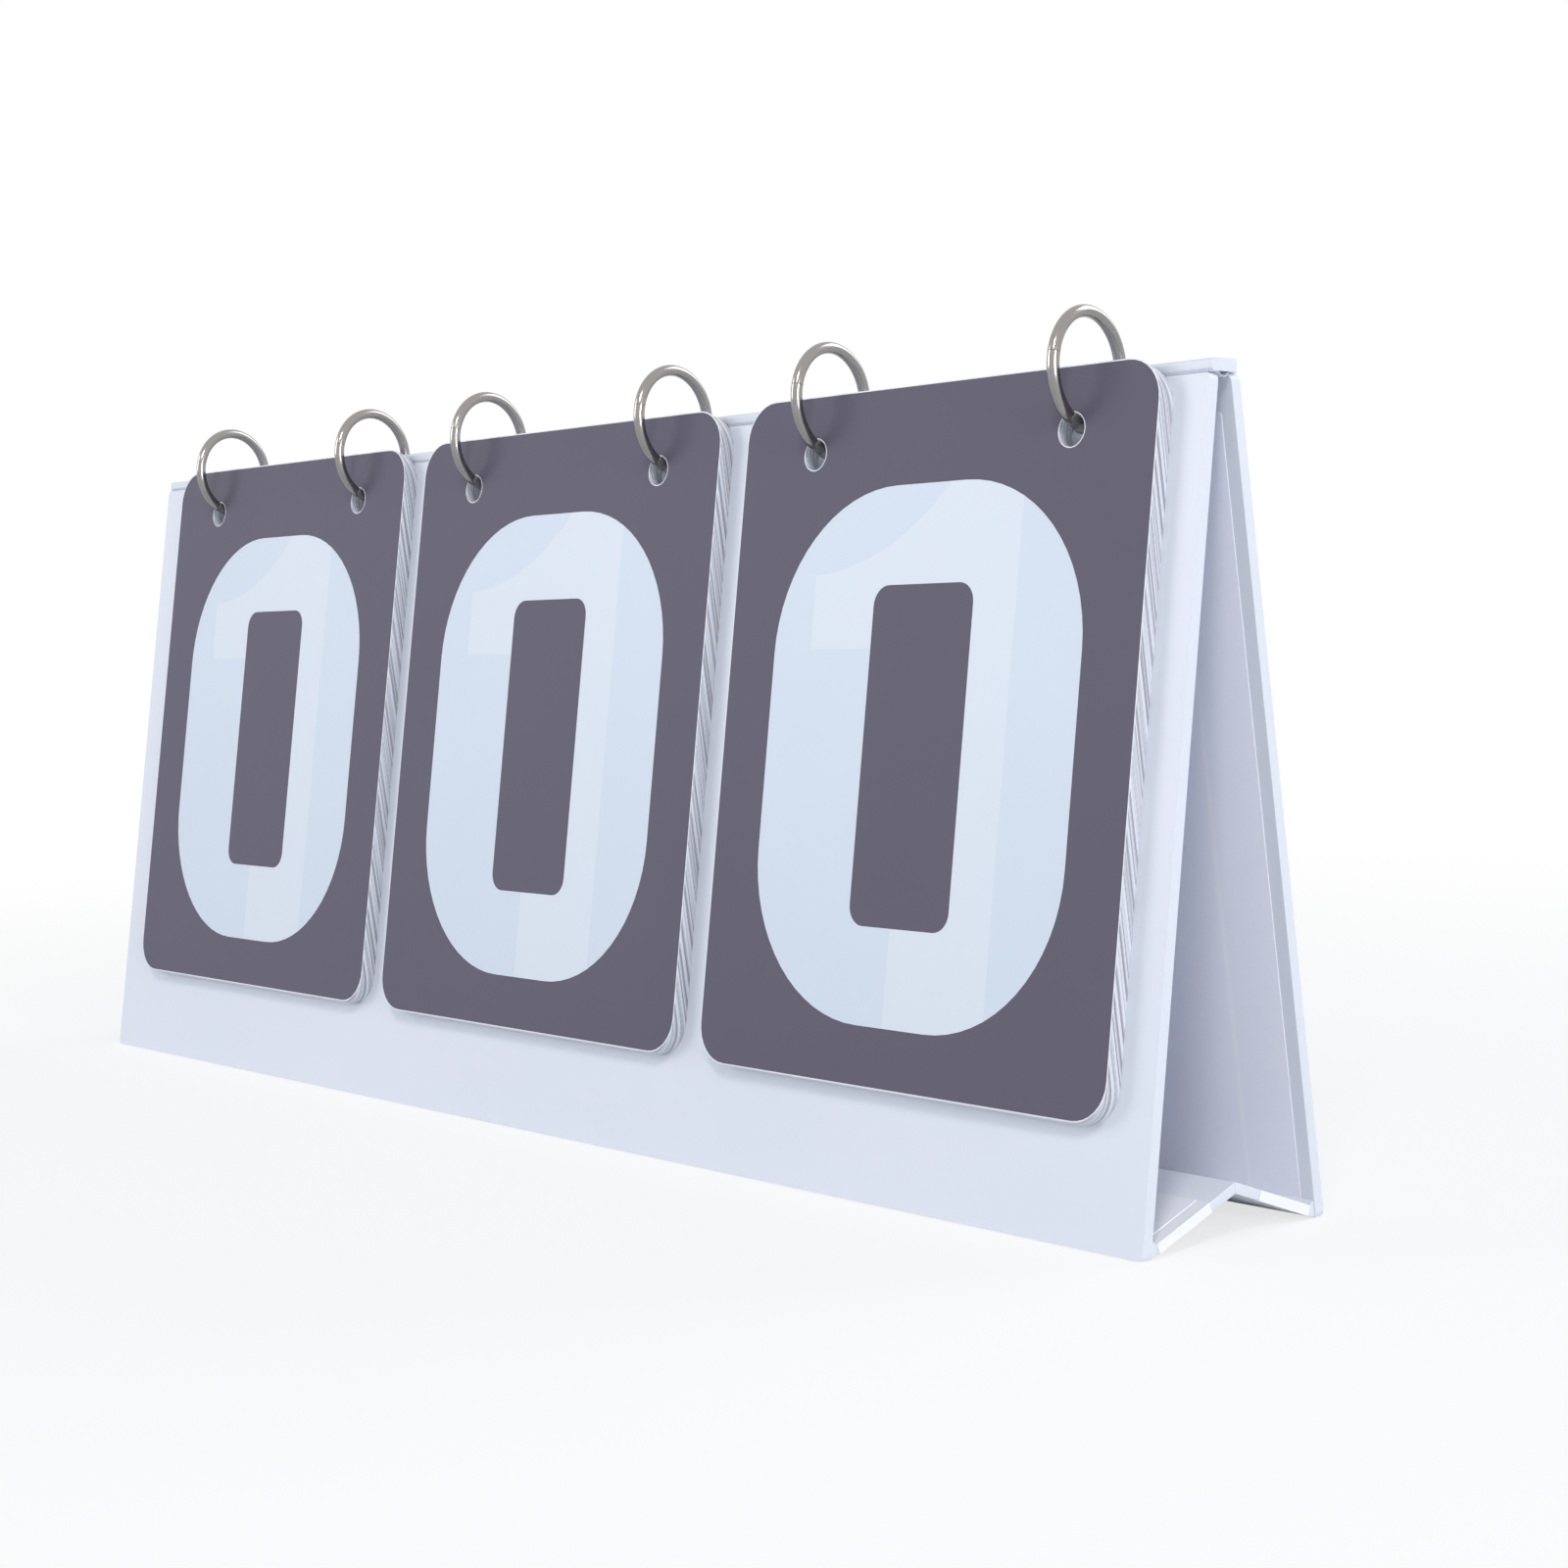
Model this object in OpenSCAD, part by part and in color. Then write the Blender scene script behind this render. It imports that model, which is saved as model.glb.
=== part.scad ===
// Tabletop flip scoreboard: a folding hardcover easel stand that carries three
// decks of ten number cards, each deck hung on two hinged book rings.
// Millimetres, +Z up. X runs along the width, the cards face -Y.
// Z = 0 is the table, X = 0 the middle of the width and Y = 0 the ridge line.

/* [Stand] */
// width of the stand along X
stand_w = 380; // [240:1:600]
// height of a panel, measured along its slope
board_h = 157; // [110:1:260]
// thickness of a covered panel
board_t = 2.4; // [1.6:0.1:3.4]
// lean of each panel from the vertical, in degrees
lean = 7.9; // [6:0.1:14]
// width across the ridge, outer face to outer face
spine_w = 8; // [7:0.1:10]
// corner radius of the panels
board_corner_r = 1.5; // [1:0.1:6]
// rounding of the wrapped edges
board_edge_r = 0.7; // [0.3:0.1:1]
// thickness of the flexible cover strips
strip_t = 0.5; // [0.3:0.05:0.8]

/* [Ridge] */
// thickness of the covered ridge board
ridge_t = 2.3; // [1.6:0.1:2.6]
// set-back of the ridge board from the outer faces of the panels
ridge_inset = 0.6; // [0.5:0.1:1.2]
// gap between the ridge board and the panels' top edge
ridge_gap = 0.04; // [0.02:0.01:0.2]

/* [Base] */
// thickness of a covered base board
base_t = 2; // [1.4:0.1:3]
// height of the underside of the base crease above the table
crease_h = 8.1; // [5:0.1:20]
// clearance between a base board and a panel when they lie together
fold_gap = 0.5; // [0.45:0.05:1]
// height of the lowest point of a base board above the table
base_lift = 0.3; // [0.2:0.05:1]
// length of the soft crease at the tip of each base board
crease_len = 7; // [6.6:0.1:9]
// gap between the two halves of the crease
crease_gap = 0.04; // [0.02:0.01:0.2]

/* [Lining] */
// thickness of the lining sheets
liner_t = 0.12; // [0.1:0.01:0.2]
// border of wrapped cover left showing round each lining sheet
liner_inset = 3; // [2:0.5:10]
// border left along the ridge, so that the folded panels close
liner_top_inset = 6.5; // [6:0.5:12]
// how much larger the ring holes of the lining are
liner_hole_extra = 1; // [0.4:0.1:3]

/* [Cards] */
// width of a card
card_w = 113; // [60:1:116]
// height of a card
card_h = 137.5; // [80:0.5:150]
// thickness of a card
card_t = 0.3; // [0.2:0.05:0.4]
// air between neighbouring cards
card_gap = 0.06; // [0.04:0.01:0.15]
// corner radius of a card
card_corner_r = 8; // [2:0.5:12]
// distance between the middles of neighbouring decks
deck_pitch = 122; // [100:0.5:160]
// how far the decks sit to the right of the middle
deck_shift = 3.5; // [-5:0.5:5]
// diameter of the punched holes of a card
card_hole_d = 6.4; // [5:0.1:8]
// distance from the top edge of a card to the middles of its holes
card_hole_drop = 12; // [9:0.1:14]
// play between a hanging card and the ring wire
card_hang_gap = 0.2; // [0.2:0.01:0.4]

/* [Rings] */
// distance between the two rings of a deck
ring_span = 70.5; // [40:0.5:90]
// radius of the middle of the ring wire
ring_r = 10.7; // [10:0.1:14]
// diameter of the ring wire
wire_d = 2.4; // [1.6:0.1:3]
// how far the rings lean forward of the ridge line
ring_forward = 3.8; // [2:0.1:4.5]
// turn of the rings out of the square position, seen from above, in degrees
ring_twist = 7; // [0:0.5:8]
// height of the ring middle above the top edge of the panels
ring_rise = 2.8; // [2.4:0.1:4]
// diameter of the ring holes in the panels
panel_hole_d = 8; // [7.5:0.1:9.5]
// play between a ring and the lower edge of its front hole
ring_seat_gap = 0.25; // [0.2:0.01:0.4]
// turn of the ring joint round the ring, below the rear of the ring
joint_turn = 14; // [5:1:20]
// diameter of the flattened eyes of the ring joint
eye_d = 4.2; // [3.4:0.1:5]
// gap between the moving faces of the ring joint
eye_gap = 0.08; // [0.04:0.01:0.2]
// diameter of the rivet of the ring joint
rivet_d = 1.4; // [1:0.1:2]
// diameter of the rivet heads
rivet_head_d = 2.6; // [2:0.1:3.4]
// thickness of the rivet heads
rivet_head_t = 0.35; // [0.2:0.05:0.6]
// diameter of the catch pin at the ring's closing seam
catch_d = 1; // [0.6:0.1:1.2]
// length of the catch pin
catch_len = 1.1; // [0.6:0.1:1.6]
// play of the catch pin in its socket
catch_play = 0.12; // [0.1:0.01:0.2]

/* [Hidden] */
facets = 96;
cut = 60;
deck_n = 3;
card_n = 10;
top_z = board_h * cos(lean);
foot_y = spine_w / 2 + board_h * sin(lean);
pivot_z = fold_gap + base_t + base_lift;
pivot_y = foot_y - (board_t + fold_gap) / cos(lean) - pivot_z * tan(lean);
base_w_off = fold_gap + base_t;
base_reach = sqrt(pivot_y * pivot_y + (crease_h - pivot_z) * (crease_h - pivot_z));
base_len = sqrt(base_reach * base_reach - base_w_off * base_w_off);
base_angle = atan2(crease_h - pivot_z, pivot_y) + atan2(base_w_off, base_len);
base_start = 0.6;
board_len = base_len - crease_len;
ring_y = -ring_forward;
ring_z = top_z + ring_rise;
// the ring middle seen from the top edge of the front panel, inwards and upwards
ring_in = (ring_y + spine_w / 2) * cos(lean) - ring_rise * sin(lean);
ring_up = (ring_y + spine_w / 2) * sin(lean) + ring_rise * cos(lean);
// the wire where it crosses the middle of the front panel
wire_side = board_t / 2 - ring_in;
wire_up = ring_up - sqrt(ring_r * ring_r - wire_side * wire_side);
panel_hole_up = wire_up + panel_hole_d / 2 - wire_d / 2 - ring_seat_gap;
card_pitch = card_t + card_gap;
// how far the front card hangs in front of the ring middle
card_side_out = card_gap + card_t / 2 + (card_n - 1) * card_pitch + ring_in;
// middle of the sideways play that a turned ring needs in the card holes
card_side = (ring_r - card_side_out) * sin(ring_twist) / 2;
inner_r = ring_r - wire_d / 2;
seam_angle = 180 - joint_turn;
// ring joint middle in the plane of the ring
eye_y = ring_r * cos(joint_turn);
eye_z = -ring_r * sin(joint_turn);
base_front_z = pivot_z - base_w_off * cos(base_angle) + base_start * sin(base_angle);
base_front_y = pivot_y - base_w_off * sin(base_angle) - base_start * cos(base_angle);

// names of the separate parts
// which part to draw

// middle of deck d along X
function deck_x(d) = deck_shift + (d - (deck_n - 1) / 2) * deck_pitch;

// middle of ring r along X, two rings to a deck
function ring_x(r) = deck_x(floor(r / 2)) + (r % 2 - 0.5) * ring_span;

// middle plane of card c, counted from the panel outwards, seen from the panel face
function card_in(c) = -(card_gap + card_t / 2 + c * card_pitch);

// height of the hole middles of card c below or above the panel's top edge
function card_hole_up(c) =
    let (side = card_in(c) - card_t / 2 - ring_in)
    ring_up - sqrt(inner_r * inner_r - side * side) + card_hang_gap - card_hole_d / 2;

// a flat outline in Y and Z drawn out along X, centred
module along_x(len) {
    rotate([90, 0, 90])
        linear_extrude(len, center = true)
            children();
}

// puts children in the slope of the front panel: Y inwards from its outer face,
// Z up from its top edge
module on_front() {
    translate([0, -spine_w / 2, top_z])
        rotate([-lean, 0, 0])
            children();
}

// rectangle with round corners, its top edge at Y = 0, centred on X
module round_rect(w, h, r) {
    translate([-w / 2 + r, -h])
        square([w - 2 * r, h]);
    translate([-w / 2, -h + r])
        square([w, h - 2 * r]);
    for (x = [-w / 2 + r, w / 2 - r])
        for (y = [-r, -h + r])
            translate([x, y])
                circle(r, $fn = facets);
}

// sheet of thickness t in the slope of the front panel, from Y = y0 inwards
module slope_sheet(w, h, r, t, y0, z0) {
    translate([0, y0 + t, z0])
        rotate([90, 0, 0])
            linear_extrude(t)
                round_rect(w, h, r);
}

// six ring holes across the slope of a panel
module ring_holes(d) {
    for (r = [0 : 2 * deck_n - 1])
        translate([ring_x(r), -board_t, panel_hole_up])
            rotate([-90, 0, 0])
                cylinder(d = d, h = 4 * board_t, $fn = facets);
}

// cross-section of a wrapped board of thickness t from 0 down to -h
module board_section(t, h, r) {
    translate([0, -h + r])
        square([t, h - 2 * r]);
    translate([r, -h])
        square([t - 2 * r, h]);
    for (y = [r, t - r])
        for (z = [-r, -h + r])
            translate([y, z])
                circle(r, $fn = facets);
}

// leaning panel in the front position, its foot cut level with the table
module panel_shape() {
    difference() {
        intersection() {
            on_front()
                along_x(stand_w)
                    board_section(board_t, board_h + board_t, board_edge_r);
            on_front()
                slope_sheet(stand_w, board_h + board_t * tan(lean), board_corner_r, board_t, 0, 0);
            translate([-stand_w, -stand_w, 0])
                cube([2 * stand_w, 2 * stand_w, 2 * top_z]);
        }
        on_front()
            ring_holes(panel_hole_d);
    }
}

// lining sheet on the inner face of the front panel
module liner_shape() {
    on_front()
        difference() {
            slope_sheet(stand_w - 2 * liner_inset, board_h - liner_inset - liner_top_inset,
                board_corner_r / 2, liner_t, board_t, -liner_top_inset);
            ring_holes(panel_hole_d + liner_hole_extra);
        }
}

// places a drawing at the front pivot of the base, X along the base board
module at_base() {
    translate([-pivot_y, pivot_z])
        rotate(base_angle)
            children();
}

// base board from the front foot to the soft crease
module base_shape() {
    intersection() {
        along_x(stand_w)
            at_base()
                translate([base_start, -base_w_off])
                    square([board_len - base_start, base_t]);
        translate([0, 0, -cut / 2])
            linear_extrude(cut)
                translate([0, foot_y])
                    round_rect(stand_w, 2 * foot_y, board_corner_r);
    }
}

// lining sheet on the upper face of the base board
module base_liner_shape() {
    along_x(stand_w - 2 * liner_inset)
        at_base()
            translate([base_start + liner_inset / 2, -fold_gap])
                square([board_len - base_start - liner_inset / 2, liner_t]);
}

// soft half of the crease between the base board and the middle of the stand
module crease_shape() {
    along_x(stand_w)
        intersection() {
            at_base()
                translate([board_len + crease_gap, -base_w_off])
                    square([2 * crease_len, base_t]);
            translate([-cut - crease_gap / 2, 0])
                square([cut, cut]);
        }
}

// flexible strip from the foot of the front panel to the base board
module foot_strip_shape() {
    foot_in = foot_y - board_t / cos(lean);
    x1 = -foot_in + crease_gap;
    x2 = -base_front_y - crease_gap;
    along_x(stand_w - 2 * board_corner_r)
        polygon([
            [x1, crease_gap],
            [x2, base_front_z],
            [x2 - strip_t * tan(base_angle), base_front_z + strip_t],
            [x1 + (crease_gap + strip_t) * tan(lean), crease_gap + strip_t]
        ]);
}

// narrow covered board along the ridge, hinged to both panels by the cover
module ridge_shape() {
    ridge_w = spine_w - 2 * ridge_inset;
    along_x(stand_w)
        translate([-ridge_w / 2, top_z + ridge_gap + ridge_t])
            board_section(ridge_w, ridge_t, board_edge_r);
}

// curved length of ring wire from angle a over the sweep s, in the YZ plane
module wire_arc(a, s) {
    rotate([90, 0, 90])
        rotate([0, 0, a])
            rotate_extrude(angle = s, $fn = facets)
                translate([ring_r, 0])
                    circle(d = wire_d, $fn = 32);
}

// disc across X at the ring joint
module eye(d, x0, x1) {
    translate([x0, eye_y, eye_z])
        rotate([0, 90, 0])
            cylinder(d = d, h = x1 - x0, $fn = facets);
}

// cylinder along the wire at the closing seam, from the seam plane forwards
module at_seam(d, len) {
    translate([0, ring_r * cos(seam_angle), ring_r * sin(seam_angle)])
        rotate([seam_angle, 0, 0])
            cylinder(d = d, h = len, $fn = 32);
}

// lower half of a ring about its own middle: joint end, belly and socket end
module ring_lower_shape() {
    difference() {
        union() {
            difference() {
                wire_arc(-joint_turn - 180, 180);
                eye(eye_d + 2 * eye_gap, -eye_gap / 2, wire_d);
            }
            eye(eye_d, -wire_d / 2, -eye_gap / 2);
        }
        at_seam(catch_d + 2 * catch_play, catch_len + catch_play);
        at_seam_cut();
        eye(rivet_d, -wire_d, wire_d);
    }
}

// thin slice that keeps the two wire ends apart at the closing seam
module at_seam_cut() {
    translate([0, ring_r * cos(seam_angle), ring_r * sin(seam_angle)])
        rotate([seam_angle, 0, 0])
            translate([-wire_d, -wire_d, -eye_gap / 2])
                cube([2 * wire_d, 2 * wire_d, eye_gap]);
}

// upper half of a ring about its own middle: joint end, crown and catch pin
module ring_upper_shape() {
    difference() {
        union() {
            difference() {
                wire_arc(-joint_turn, 180);
                eye(eye_d + 2 * eye_gap, -wire_d, eye_gap / 2);
            }
            eye(eye_d, eye_gap / 2, wire_d / 2);
        }
        eye(rivet_d + eye_gap, -wire_d, wire_d);
        at_seam_cut();
    }
    at_seam_pin();
}

// catch pin of the upper half, standing into the socket of the lower half
module at_seam_pin() {
    translate([0, ring_r * cos(seam_angle), ring_r * sin(seam_angle)])
        rotate([seam_angle, 0, 0])
            translate([0, 0, -wire_d / 4])
                cylinder(d = catch_d, h = catch_len + wire_d / 4, $fn = 32);
}

// places children at the middle of ring r
module at_ring(r) {
    translate([ring_x(r), ring_y, ring_z])
        rotate([0, 0, ring_twist])
            children();
}

// rivet of the ring joint with a head at each end
module rivet_shape() {
    head_x = wire_d / 2 + eye_gap / 2;
    eye(rivet_d, -wire_d / 2, head_x);
    eye(rivet_head_d, -wire_d / 2 - rivet_head_t, -wire_d / 2);
    eye(rivet_head_d, head_x, head_x + rivet_head_t);
}

// number card c of deck d, card 0 nearest the panel
module card_shape(d, c) {
    hole_up = card_hole_up(c);
    translate([deck_x(d), 0, 0])
        on_front()
            difference() {
                slope_sheet(card_w, card_h, card_corner_r, card_t,
                    card_in(c) - card_t / 2, hole_up + card_hole_drop);
                for (s = [-1, 1])
                    translate([s * ring_span / 2 + card_side, card_in(c) - card_t, hole_up])
                        rotate([-90, 0, 0])
                            cylinder(d = card_hole_d, h = 2 * card_t, $fn = facets);
            }
}

// front panel, covered greyboard
module front_panel() color("#dfe2ec") panel_shape();

// back panel, mirror of the front panel
module back_panel() color("#dfe2ec") mirror([0, 1, 0]) panel_shape();

// lining of the front panel
module front_liner() color("#bcc4d2") liner_shape();

// lining of the back panel
module back_liner() color("#bcc4d2") mirror([0, 1, 0]) liner_shape();

// front half of the base
module base_front() color("#dfe2ec") base_shape();

// back half of the base
module base_back() color("#dfe2ec") mirror([0, 1, 0]) base_shape();

// lining of the front half of the base
module base_front_liner() color("#bcc4d2") base_liner_shape();

// lining of the back half of the base
module base_back_liner() color("#bcc4d2") mirror([0, 1, 0]) base_liner_shape();

// soft crease, front half
module crease_front() color("#dfe2ec") crease_shape();

// soft crease, back half
module crease_back() color("#dfe2ec") mirror([0, 1, 0]) crease_shape();

// cover strip at the front foot
module front_foot_strip() color("#dfe2ec") foot_strip_shape();

// cover strip at the back foot
module back_foot_strip() color("#dfe2ec") mirror([0, 1, 0]) foot_strip_shape();

// ridge board between the two panels
module ridge_board() color("#dfe2ec") ridge_shape();

// rivets of the six ring joints
module ring_rivets() {
    for (r = [0 : 2 * deck_n - 1])
        color("#b9bcc2") at_ring(r) rivet_shape();
}

// lower half of ring 1, counted from the left
module ring_lower_1() color("#b9bcc2") at_ring(0) ring_lower_shape();

// lower half of ring 2, counted from the left
module ring_lower_2() color("#b9bcc2") at_ring(1) ring_lower_shape();

// lower half of ring 3, counted from the left
module ring_lower_3() color("#b9bcc2") at_ring(2) ring_lower_shape();

// lower half of ring 4, counted from the left
module ring_lower_4() color("#b9bcc2") at_ring(3) ring_lower_shape();

// lower half of ring 5, counted from the left
module ring_lower_5() color("#b9bcc2") at_ring(4) ring_lower_shape();

// lower half of ring 6, counted from the left
module ring_lower_6() color("#b9bcc2") at_ring(5) ring_lower_shape();

// upper half of ring 1, counted from the left
module ring_upper_1() color("#b9bcc2") at_ring(0) ring_upper_shape();

// upper half of ring 2, counted from the left
module ring_upper_2() color("#b9bcc2") at_ring(1) ring_upper_shape();

// upper half of ring 3, counted from the left
module ring_upper_3() color("#b9bcc2") at_ring(2) ring_upper_shape();

// upper half of ring 4, counted from the left
module ring_upper_4() color("#b9bcc2") at_ring(3) ring_upper_shape();

// upper half of ring 5, counted from the left
module ring_upper_5() color("#b9bcc2") at_ring(4) ring_upper_shape();

// upper half of ring 6, counted from the left
module ring_upper_6() color("#b9bcc2") at_ring(5) ring_upper_shape();

// left deck, the card that carries the numeral 0
module card_left_0() color("#68656f") card_shape(0, 9);

// left deck, the card that carries the numeral 1
module card_left_1() color("#68656f") card_shape(0, 8);

// left deck, the card that carries the numeral 2
module card_left_2() color("#68656f") card_shape(0, 7);

// left deck, the card that carries the numeral 3
module card_left_3() color("#68656f") card_shape(0, 6);

// left deck, the card that carries the numeral 4
module card_left_4() color("#68656f") card_shape(0, 5);

// left deck, the card that carries the numeral 5
module card_left_5() color("#68656f") card_shape(0, 4);

// left deck, the card that carries the numeral 6
module card_left_6() color("#68656f") card_shape(0, 3);

// left deck, the card that carries the numeral 7
module card_left_7() color("#68656f") card_shape(0, 2);

// left deck, the card that carries the numeral 8
module card_left_8() color("#68656f") card_shape(0, 1);

// left deck, the card that carries the numeral 9
module card_left_9() color("#68656f") card_shape(0, 0);

// middle deck, the card that carries the numeral 0
module card_middle_0() color("#68656f") card_shape(1, 9);

// middle deck, the card that carries the numeral 1
module card_middle_1() color("#68656f") card_shape(1, 8);

// middle deck, the card that carries the numeral 2
module card_middle_2() color("#68656f") card_shape(1, 7);

// middle deck, the card that carries the numeral 3
module card_middle_3() color("#68656f") card_shape(1, 6);

// middle deck, the card that carries the numeral 4
module card_middle_4() color("#68656f") card_shape(1, 5);

// middle deck, the card that carries the numeral 5
module card_middle_5() color("#68656f") card_shape(1, 4);

// middle deck, the card that carries the numeral 6
module card_middle_6() color("#68656f") card_shape(1, 3);

// middle deck, the card that carries the numeral 7
module card_middle_7() color("#68656f") card_shape(1, 2);

// middle deck, the card that carries the numeral 8
module card_middle_8() color("#68656f") card_shape(1, 1);

// middle deck, the card that carries the numeral 9
module card_middle_9() color("#68656f") card_shape(1, 0);

// right deck, the card that carries the numeral 0
module card_right_0() color("#68656f") card_shape(2, 9);

// right deck, the card that carries the numeral 1
module card_right_1() color("#68656f") card_shape(2, 8);

// right deck, the card that carries the numeral 2
module card_right_2() color("#68656f") card_shape(2, 7);

// right deck, the card that carries the numeral 3
module card_right_3() color("#68656f") card_shape(2, 6);

// right deck, the card that carries the numeral 4
module card_right_4() color("#68656f") card_shape(2, 5);

// right deck, the card that carries the numeral 5
module card_right_5() color("#68656f") card_shape(2, 4);

// right deck, the card that carries the numeral 6
module card_right_6() color("#68656f") card_shape(2, 3);

// right deck, the card that carries the numeral 7
module card_right_7() color("#68656f") card_shape(2, 2);

// right deck, the card that carries the numeral 8
module card_right_8() color("#68656f") card_shape(2, 1);

// right deck, the card that carries the numeral 9
module card_right_9() color("#68656f") card_shape(2, 0);

front_panel();
front_liner();
back_panel();
back_liner();
base_front();
base_front_liner();
base_back();
base_back_liner();
crease_front();
crease_back();
front_foot_strip();
back_foot_strip();
ridge_board();
ring_rivets();
ring_lower_1();
ring_lower_2();
ring_lower_3();
ring_lower_4();
ring_lower_5();
ring_lower_6();
ring_upper_1();
ring_upper_2();
ring_upper_3();
ring_upper_4();
ring_upper_5();
ring_upper_6();
card_left_0();
card_left_1();
card_left_2();
card_left_3();
card_left_4();
card_left_5();
card_left_6();
card_left_7();
card_left_8();
card_left_9();
card_middle_0();
card_middle_1();
card_middle_2();
card_middle_3();
card_middle_4();
card_middle_5();
card_middle_6();
card_middle_7();
card_middle_8();
card_middle_9();
card_right_0();
card_right_1();
card_right_2();
card_right_3();
card_right_4();
card_right_5();
card_right_6();
card_right_7();
card_right_8();
card_right_9();
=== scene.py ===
# %% [markdown]
# A tabletop flip scoreboard in Blender.
# The real object is a white hardcover easel stand with three decks of number cards.
# Each deck hangs on two nickel-plated book rings and is turned over one card at a time.
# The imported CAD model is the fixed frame: boards, rings and cards stay where it puts them.
# This file adds what CAD leaves out: finishes, printed numerals and the soft cover strips.

import math

import bmesh
import bpy
from mathutils import Matrix, Vector


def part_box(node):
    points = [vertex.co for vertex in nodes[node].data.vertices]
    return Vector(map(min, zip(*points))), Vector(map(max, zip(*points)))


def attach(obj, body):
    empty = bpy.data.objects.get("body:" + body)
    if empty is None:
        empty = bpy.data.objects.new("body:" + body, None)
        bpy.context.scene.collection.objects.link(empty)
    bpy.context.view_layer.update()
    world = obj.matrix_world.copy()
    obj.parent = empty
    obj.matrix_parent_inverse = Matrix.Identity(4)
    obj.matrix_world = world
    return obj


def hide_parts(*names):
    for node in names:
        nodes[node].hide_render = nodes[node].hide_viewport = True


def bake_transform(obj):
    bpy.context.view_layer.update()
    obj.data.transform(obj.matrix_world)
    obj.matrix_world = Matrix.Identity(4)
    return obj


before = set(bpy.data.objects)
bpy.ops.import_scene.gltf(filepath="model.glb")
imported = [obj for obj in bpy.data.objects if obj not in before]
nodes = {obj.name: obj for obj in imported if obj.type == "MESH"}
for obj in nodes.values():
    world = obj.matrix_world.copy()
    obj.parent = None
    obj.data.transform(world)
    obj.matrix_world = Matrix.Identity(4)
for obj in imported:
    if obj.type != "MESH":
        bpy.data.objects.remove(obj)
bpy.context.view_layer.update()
MM = 0.001
DECKS = ("left", "middle", "right")

# %% [markdown]
# Every colour here is written as the sRGB hex value that a colour picker shows.
# Shaders work in linear light, so one function converts them all.
# One more small function adds a shader node with its settings and links.
# That keeps each material short enough to be read from top to bottom.

# %% Colour and node helpers


def colour(code):
    """Turns an sRGB hex code into the linear RGBA that a shader socket takes."""
    parts = [int(code[i : i + 2], 16) / 255 for i in (0, 2, 4)]
    linear = [c / 12.92 if c <= 0.04045 else ((c + 0.055) / 1.055) ** 2.4 for c in parts]
    return (*linear, 1.0)


def add(tree, kind, inputs=None, **settings):
    """Adds a node of that kind, sets its properties, then fills or links its inputs."""
    node = tree.nodes.new(kind)
    for name, value in settings.items():
        setattr(node, name, value)
    for socket, value in (inputs or {}).items():
        if isinstance(value, bpy.types.NodeSocket):
            tree.links.new(value, node.inputs[socket])
        else:
            node.inputs[socket].default_value = value
    return node


def new_material(name):
    """Makes an empty node material with its output and returns (material, tree, output)."""
    material = bpy.data.materials.new(name)
    material.use_nodes = True
    tree = material.node_tree
    tree.nodes.clear()
    output = add(tree, "ShaderNodeOutputMaterial")
    print("material", name)
    return material, tree, output


# %% [markdown]
# The camera stands where the photograph was taken from.
# A pinhole camera was fitted to the corners of the boards and cards to find that place.
# It is low, about 110 mm above the table, and 49 degrees round to the right of the front.
# A fitted camera beats one set by eye, because every edge can then be compared.

# %% Camera
LENS_PX = 2707.37
IMAGE_PX = 1600
SENSOR_MM = 36
EYE_MM = (494.911, -371.317, 110.450)
yaw, pitch, roll = (math.radians(a) for a in (48.952, -3.198, -1.297))
forward = Vector((-math.sin(yaw) * math.cos(pitch), math.cos(yaw) * math.cos(pitch), math.sin(pitch)))
level = Vector((math.cos(yaw), math.sin(yaw), 0))
upright = level.cross(forward)
right = level * math.cos(roll) + upright * math.sin(roll)
up = upright * math.cos(roll) - level * math.sin(roll)

camera = bpy.data.objects.new("camera", bpy.data.cameras.new("camera"))
bpy.context.scene.collection.objects.link(camera)
camera.data.sensor_fit = "HORIZONTAL"
camera.data.sensor_width = SENSOR_MM
camera.data.lens = LENS_PX / IMAGE_PX * SENSOR_MM
camera.data.clip_start, camera.data.clip_end = 0.01, 20
axes = Matrix((right, up, -forward)).transposed().to_4x4()
camera.matrix_world = Matrix.Translation(Vector(EYE_MM) * MM) @ axes
bpy.context.scene.camera = camera
print("lens", round(camera.data.lens, 2), "mm")

# %% [markdown]
# The photograph has a plain white background, with daylight from above and to the right.
# A photographer would stand the object on a white sweep under large soft boxes.
# The floor is a plain sheet that stays white to the camera and still takes a shadow.
# Light Path's Is Camera Ray gives the white, so no more light falls on the object for it.

# %% World and floor
scene = bpy.context.scene
scene.view_settings.view_transform = "Standard"
world = bpy.data.worlds.new("studio")
scene.world = world
world.use_nodes = True
tree = world.node_tree
tree.nodes.clear()
path = add(tree, "ShaderNodeLightPath")
seen = add(tree, "ShaderNodeMath", {0: path.outputs["Is Camera Ray"], 1: path.outputs["Is Glossy Ray"]},
           operation="MAXIMUM")
seen = add(tree, "ShaderNodeMath", {0: seen.outputs[0], 1: path.outputs["Is Transmission Ray"]},
           operation="MAXIMUM")
light = add(tree, "ShaderNodeBackground", {"Color": colour("ECF0F6"), "Strength": 0.5})
white = add(tree, "ShaderNodeBackground", {"Color": (1, 1, 1, 1), "Strength": 1.0})
mix = add(tree, "ShaderNodeMixShader", {0: seen.outputs[0], 1: light.outputs[0], 2: white.outputs[0]})
add(tree, "ShaderNodeOutputWorld", {"Surface": mix.outputs[0]})

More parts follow.
